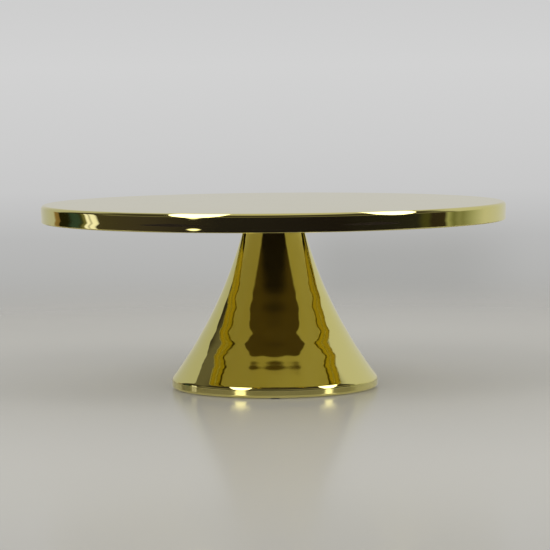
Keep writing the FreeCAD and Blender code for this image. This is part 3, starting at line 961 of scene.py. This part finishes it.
# %% [markdown]
# ## Two tables in one place
# The camera sees a plain pale floor, which fades out with distance, so that no horizon cuts across behind the
# plate. The gold sees another table just under it: a pale card on a dark sheet of painted shade, which stands
# for the unlit room in front. The card's edge runs close in front of the stand and makes the dark shapes on
# the pedestal and under the plate.

# %% Table
FLOOR_HALF = 4.0
FLOOR_FADE = (0.34, 0.95)
FLOOR_COLOURS = ((0.535, 0.52, 0.475, 1), (0.555, 0.54, 0.495, 1))
TABLE_FRONT = -0.7
TABLE_BACK = 0.5
TABLE_HALF = 0.75
TABLE_DROP = 0.2 * MM
CARD_FRONT = -0.168
CARD_END = -0.26
CARD_WING = 0.208
CARD_EDGE_BLUR = 0.002
CARD_SIDE_BLUR = 0.012
CARD_BULGE = (-0.011, 0.012)
CARD_SHINE = (0.105, 0.135)
# The card's two colours are painted light and shade: darker on the left and lighter on the right, as if more
# light fell from the right.
CARD_PAINTED_SHADE_LEFT = (0.58, 0.56, 0.50, 1)
CARD_PAINTED_LIGHT_RIGHT = (0.66, 0.65, 0.60, 1)
# The two dark colours are painted shade: a dark sheet round the card that stands for the unlit room in front,
# darker further out.
PAINTED_SHADE_NEAR = (0.13, 0.10, 0.07, 1)
PAINTED_SHADE_FAR = (0.022, 0.018, 0.03, 1)


def table_finish(name, colour, gloss, roughness, opacity=None, wiped=None):
    """A pale laminate: matt colour under a thin, slightly blurred shine that grows at low angles."""
    material, graph = new_material(name)
    place = graph.add("ShaderNodeTexCoord")["Object"]
    cloud = graph.smooth(graph.noise(place, 2.0, 2.0), 0.3, 0.7)
    grain = graph.noise(place, 400.0, 3.0)
    relief = graph.bump(grain, 0.04, 0.2 * MM)
    matt = graph.add("ShaderNodeBsdfDiffuse", None, {"Color": colour(graph, place, cloud), "Normal": relief})
    shine = graph.add("ShaderNodeBsdfGlossy", None, {"Roughness": roughness, "Normal": relief})
    angle = graph.add("ShaderNodeFresnel", None, {"IOR": 1.45})
    strength = angle[0] * gloss
    if wiped:
        strength = strength * wiped(graph, place)
    both = graph.add("ShaderNodeMixShader", None, {0: strength, 1: matt[0], 2: shine[0]})
    if opacity:
        clear = graph.add("ShaderNodeBsdfTransparent")
        both = graph.add("ShaderNodeMixShader", None, {0: opacity(graph, place), 1: clear[0], 2: both[0]})
    show(graph, both[0])
    return material


def floor_colour(graph, place, cloud):
    return graph.blend(cloud, *FLOOR_COLOURS)


def floor_opacity(graph, place):
    """Whole near the stand, and gone further out, where the backdrop takes over."""
    away = graph.add("ShaderNodeVectorMath", {"operation": "LENGTH"}, {0: place})["Value"]
    return graph.smooth(away, *FLOOR_FADE, 1.0, 0.0)


def card_and_painted_shade_colour(graph, place, cloud):
    """A pale card on a dark sheet of painted shade, darker further out. Its front edge bulges towards the
    viewer, and it is painted lighter to the right.
    """
    x, y, z = graph.split(place)
    sideways = x.math("ABSOLUTE")
    # The card is painted lighter to the right, as if lit from that side.
    card = graph.blend(graph.smooth(x, -0.15, 0.15), CARD_PAINTED_SHADE_LEFT, CARD_PAINTED_LIGHT_RIGHT)
    within = graph.smooth(sideways, CARD_WING - CARD_SIDE_BLUR, CARD_WING + CARD_SIDE_BLUR, 1.0, 0.0)
    edge = y - graph.smooth(sideways, 0.05, 0.13, *CARD_BULGE)
    front = graph.smooth(edge, CARD_FRONT - CARD_EDGE_BLUR, CARD_FRONT + CARD_EDGE_BLUR, 1.0, 0.0)
    wings_end = graph.smooth(y, CARD_END - 0.02, CARD_END, 1.0, 0.0)
    # Painted shade round the card, darker further from the stand.
    painted_shade_sheet = graph.blend(graph.smooth(y, -0.245, -0.195), PAINTED_SHADE_FAR, PAINTED_SHADE_NEAR)
    return graph.blend((within * front).math("MAXIMUM", wings_end), card, painted_shade_sheet)


def near_foot(graph, place):
    """The card shines close to the foot, and is matt further out."""
    away = graph.add("ShaderNodeVectorMath", {"operation": "LENGTH"}, {0: place})["Value"]
    return graph.smooth(away, *CARD_SHINE, 1.0, 0.0)


def sheet_of(name, half, front, back, material, height=0.0):
    """A flat rectangle at table height, which isn't part of the stand."""
    mesh = bpy.data.meshes.new(name)
    corners = [(-half, front, height), (half, front, height), (half, back, height), (-half, back, height)]
    mesh.from_pydata(corners, [], [(0, 1, 2, 3)])
    mesh.materials.append(material)
    thing = bpy.data.objects.new(name, mesh)
    bpy.context.scene.collection.objects.link(thing)
    return thing


floor_laminate = table_finish("floor_laminate", floor_colour, 0.6, 0.16, floor_opacity)
card_laminate_painted_shade = table_finish("card_laminate_painted_shade", card_and_painted_shade_colour, 1.0, 0.15, wiped=near_foot)
seen_floor = sheet_of("seen_floor", FLOOR_HALF, -FLOOR_HALF, FLOOR_HALF, floor_laminate)
seen_floor.visible_glossy = False
mirrored_table = sheet_of("mirrored_table", TABLE_HALF, TABLE_FRONT, TABLE_BACK, card_laminate_painted_shade, -TABLE_DROP)
mirrored_table.visible_camera = False
mirrored_table.visible_diffuse = False
mirrored_table.visible_shadow = False
print("the card's front edge is", round(-CARD_FRONT / MM), "mm in front of the axis")

# %% [markdown]
# ## A room in directions
# Azimuth 0 is the viewer's side, 90 is on the right, and 180 is behind the stand. The ring of colours is what
# upright metal shows: a pale wall, an amber curtain, a teal cloth and two bright strips on the left, then the
# dark room, then the right wall. Walls, shade and a ceiling are laid over the ring, each between two angles.
# The two lamps are placed the other way round, by how metal has to face to show them to somebody in front,
# and the round lower edge of each makes a crescent on the rim.

# %% The painted room
WALL_LEFT = (0.50, 0.51, 0.49, 1)
WALL_RIGHT = (0.60, 0.61, 0.58, 1)
WALL_BEHIND = (0.58, 0.575, 0.555, 1)
STRIP = (1.1, 1.1, 1.3, 1)
SHADE = (0.034, 0.028, 0.02, 1)
SHADE_HIGH = (0.13, 0.12, 0.09, 1)
SHADE_FRONT = (0.20, 0.19, 0.155, 1)
SHADE_TOP = (0.07, 0.062, 0.045, 1)
ROOM_BY_AZIMUTH = (
    (-134.0, WALL_LEFT),
    (-133.2, (0.28, 0.19, 0.08, 1)),
    (-127.4, (0.22, 0.14, 0.06, 1)),
    (-126.6, (0.016, 0.014, 0.004, 1)),
    (-117.5, (0.014, 0.015, 0.006, 1)),
    (-113.5, (0.032, 0.062, 0.062, 1)),
    (-108.0, (0.035, 0.065, 0.06, 1)),
    (-105.8, (0.025, 0.03, 0.012, 1)),
    (-104.2, (0.15, 0.15, 0.07, 1)),
    (-102.2, (0.20, 0.19, 0.09, 1)),
    (-101.4, STRIP),
    (-98.8, STRIP),
    (-98.2, (0.10, 0.09, 0.04, 1)),
    (-97.7, (0.10, 0.09, 0.04, 1)),
    (-97.1, STRIP),
    (-94.3, STRIP),
    (-93.6, (0.06, 0.052, 0.035, 1)),
    (-60.0, (0.046, 0.038, 0.036, 1)),
    (-25.0, (0.018, 0.016, 0.022, 1)),
    (30.0, (0.012, 0.0095, 0.012, 1)),
    (74.0, (0.022, 0.022, 0.02, 1)),
    (77.0, (0.06, 0.06, 0.022, 1)),
    (80.5, (0.06, 0.06, 0.022, 1)),
    (82.0, (0.03, 0.022, 0.018, 1)),
    (91.5, (0.036, 0.028, 0.018, 1)),
    (94.0, (0.36, 0.38, 0.24, 1)),
    (98.0, (0.16, 0.17, 0.08, 1)),
    (102.0, (0.26, 0.27, 0.17, 1)),
    (105.0, (0.22, 0.23, 0.13, 1)),
    (114.0, (0.40, 0.42, 0.33, 1)),
    (126.0, WALL_RIGHT),
)

# Each pair is where one colour starts to give way to another, and where it has gone, in degrees.
LEFT_SIDE = (-20.0, 0.0)
FAR_LEFT = (-100.0, -88.0)
LEFT_WALL_EDGE = (-130.8, -130.0)
RIGHT_WALL_EDGE = (96.0, 104.0)
BEHIND = (150.0, 172.0)
RIGHT_WALL_RISE = (0.0, 12.0)
LEFT_WALL_RISE = (0.0, 8.0)
SHADE_RISE = (7.0, 16.0)
SHADE_HIGH_RISE = (22.0, 32.0)
FRONT_RISE = (7.5, 10.0)
FRONT_FALL = (19.5, 24.0)
BELOW = (-22.0, -9.0)
TOP_RISE = (38.0, 48.0)
TOP_BACK = (118.0, 150.0)
CEILING_RISE = (60.0, 74.0)

# The upright edges on the left lean, by this much for each degree above or below the horizon.
LEFT_LEAN = 0.22
LEFT_LEAN_PIVOT = 12.0
EDGE_LEAN = 0.33

# A lamp is the azimuth of the metal that shows it, half its width there, and the lowest slope that shows it.
LAMP = (4.0, 3.9, 3.7, 1)
LAMP_MIDDLE = 52.0
LAMP_FADE = (56.0, 70.0)
LAMP_EDGE = 0.06
LAMPS = ((-19.3, 7.7, 2.0), (30.8, 7.1, 4.5))
FROM_VIEWER = (0.0, 0.9934, -0.115)
# The backdrop's stops are painted shading: darker low down and lighter higher up, as light falls on the wall
# and the far floor.
BACKDROP = (
    (0.0, (0.40, 0.395, 0.37, 1)),
    (0.28, (0.41, 0.405, 0.385, 1)),
    (0.38, (0.455, 0.455, 0.445, 1)),
    (0.46, (0.485, 0.485, 0.48, 1)),
    (0.57, (0.58, 0.58, 0.58, 1)),
    (0.68, (0.61, 0.61, 0.61, 1)),
    (0.86, (0.645, 0.645, 0.645, 1)),
    (1.0, (0.62, 0.62, 0.62, 1)),
)
BACKDROP_SPAN = 10.0
BACKDROP_HORIZON = 0.8
BACKDROP_SHADE = (0.34, 0.34, 0.325, 1)
SOFT_LIGHT = (1.25, 0.45)
SOFT_LIGHT_FALL = (15.0, 60.0)


def direction_angles(graph, direction):
    """A direction's azimuth and its angle above the horizon, in degrees."""
    x, y, z = graph.split(direction)
    azimuth = x.math("ARCTAN2", y * -1.0) * math.degrees(1)
    return azimuth, z.math("ARCSINE") * math.degrees(1)


def mirror_facing(graph, direction):
    """How metal has to face to show this direction to somebody in front, as the same two angles."""
    between = graph.add("ShaderNodeVectorMath", {"operation": "SUBTRACT"}, {0: direction, 1: FROM_VIEWER})
    facing = graph.add("ShaderNodeVectorMath", {"operation": "NORMALIZE"}, {0: between[0]})
    return direction_angles(graph, facing[0])


def lamp(graph, azimuth, slope, at, half_width, lowest):
    """A softbox with a round lower edge, which metal at this azimuth shows from its lowest slope up."""
    across = (azimuth - at) / half_width
    up = (slope - LAMP_MIDDLE) / (LAMP_MIDDLE - lowest)
    from_middle = (across * across + up * up).math("SQRT")
    inside = graph.smooth(from_middle, 1.0 - LAMP_EDGE, 1.0, 1.0, 0.0)
    return inside * graph.smooth(slope, *LAMP_FADE, 1.0, 0.0)


def painted_room(graph, azimuth, elevation):
    """What the gold sees: a dark room in front, and a bright wall at the sides and behind."""
    left_side = graph.smooth(azimuth, *LEFT_SIDE, 1.0, 0.0)
    leaning = azimuth + (elevation + LEFT_LEAN_PIVOT) * left_side * LEFT_LEAN
    stops = [((a + 180.0) / 360.0, colour) for a, colour in ROOM_BY_AZIMUTH]
    room = graph.add("ShaderNodeValToRGB", {"stops": stops}, {0: leaning / 360.0 + 0.5})["Color"]
    far_left = graph.smooth(azimuth, *FAR_LEFT, 1.0, 0.0)
    right = graph.smooth(azimuth, *RIGHT_WALL_EDGE)
    in_front = graph.smooth(azimuth - elevation * EDGE_LEAN, *LEFT_WALL_EDGE) * (1.0 - right)
    room = graph.blend(right * graph.smooth(elevation, *RIGHT_WALL_RISE), room, WALL_RIGHT)
    left_wall = far_left * graph.smooth(elevation, *LEFT_WALL_RISE) * (1.0 - in_front)
    room = graph.blend(left_wall, room, WALL_LEFT)
    sideways = azimuth.math("ABSOLUTE")
    room = graph.blend(graph.smooth(sideways, *BEHIND), room, WALL_BEHIND)
    shade = graph.blend(graph.smooth(elevation, *SHADE_HIGH_RISE) * far_left, SHADE, SHADE_HIGH)
    room = graph.blend(graph.smooth(elevation, *SHADE_RISE) * in_front, room, shade)
    front = graph.smooth(elevation, *FRONT_RISE) * graph.smooth(elevation, *FRONT_FALL, 1.0, 0.0)
    room = graph.blend(front * in_front * (1.0 - far_left), room, SHADE_FRONT)
    room = graph.blend(graph.smooth(elevation, *BELOW, 1.0, 0.0), room, SHADE)
    top = graph.smooth(elevation, *TOP_RISE) * graph.smooth(sideways, *TOP_BACK, 1.0, 0.0)
    room = graph.blend(top, room, SHADE_TOP)
    return graph.blend(graph.smooth(elevation, *CEILING_RISE), room, WALL_BEHIND)


def seen_backdrop(graph, direction, elevation):
    """The wall that the camera sees, painted darker low down and lighter higher up as light falls on it, with
    a soft painted shade right of the middle.
    """
    level = elevation / BACKDROP_SPAN + BACKDROP_HORIZON
    wall = graph.add("ShaderNodeValToRGB", {"stops": BACKDROP}, {0: level})["Color"]
    x, y, z = graph.split(direction)
    sideways = x / y
    shaded = graph.smooth(sideways, 0.0, 0.03) * graph.smooth(sideways, 0.07, 0.11, 1.0, 0.0)
    return graph.blend(shaded * graph.smooth(elevation, -4.0, -2.6, 0.5, 0.0), wall, BACKDROP_SHADE)


def make_world():
    """The world gives one colour to the camera, one to the gold, and a soft even light to the rest."""
    world = bpy.data.worlds.new("studio")
    bpy.context.scene.world = world
    world.use_nodes = True
    graph = Graph(world.node_tree)
    direction = graph.add("ShaderNodeTexCoord")["Generated"]
    azimuth, elevation = direction_angles(graph, direction)
    room = painted_room(graph, azimuth, elevation)
    facing, slope = mirror_facing(graph, direction)
    lamps = lamp(graph, facing, slope, *LAMPS[0]) + lamp(graph, facing, slope, *LAMPS[1])
    rays = graph.add("ShaderNodeLightPath")
    direct = rays["Diffuse Depth"].math("LESS_THAN", 0.5)
    mirrored = graph.blend(lamps * direct, room, LAMP)
    soft = graph.smooth(elevation, *SOFT_LIGHT_FALL, *SOFT_LIGHT)
    light = graph.blend(rays["Is Glossy Ray"], soft, mirrored)
    light = graph.blend(rays["Is Camera Ray"], light, seen_backdrop(graph, direction, elevation))
    shine = graph.add("ShaderNodeBackground", None, {"Color": light, "Strength": 1.0})
    graph.add("ShaderNodeOutputWorld", None, {"Surface": shine[0]})


make_world()
bpy.context.scene.view_settings.view_transform = "Standard"
print("the room is painted, with", len(LAMPS), "lamps")

# %% [markdown]
# ## Light on the matt things
# Gold is lit by what it reflects, but rubber, zinc and the floor need light that falls on them. Two large
# weak softboxes give the floor its soft shadow, and are hidden from reflections.

# %% Soft lights
def add_softbox(name, place, size, watts):
    """A square light that faces the stand and doesn't show in the gold."""
    data = bpy.data.lights.new(name, "AREA")
    data.size = size
    data.energy = watts
    light = bpy.data.objects.new(name, data)
    aim = (Vector((0, 0, 60 * MM)) - Vector(place)).to_track_quat("-Z", "Y")
    light.matrix_world = Matrix.Translation(place) @ aim.to_matrix().to_4x4()
    light.visible_glossy = False
    bpy.context.scene.collection.objects.link(light)


add_softbox("front_left_softbox", (-0.9, -1.1, 1.2), 0.8, 6)
add_softbox("front_right_softbox", (1.0, -0.9, 1.2), 0.8, 5)
print("two softboxes light the floor and the rubber")
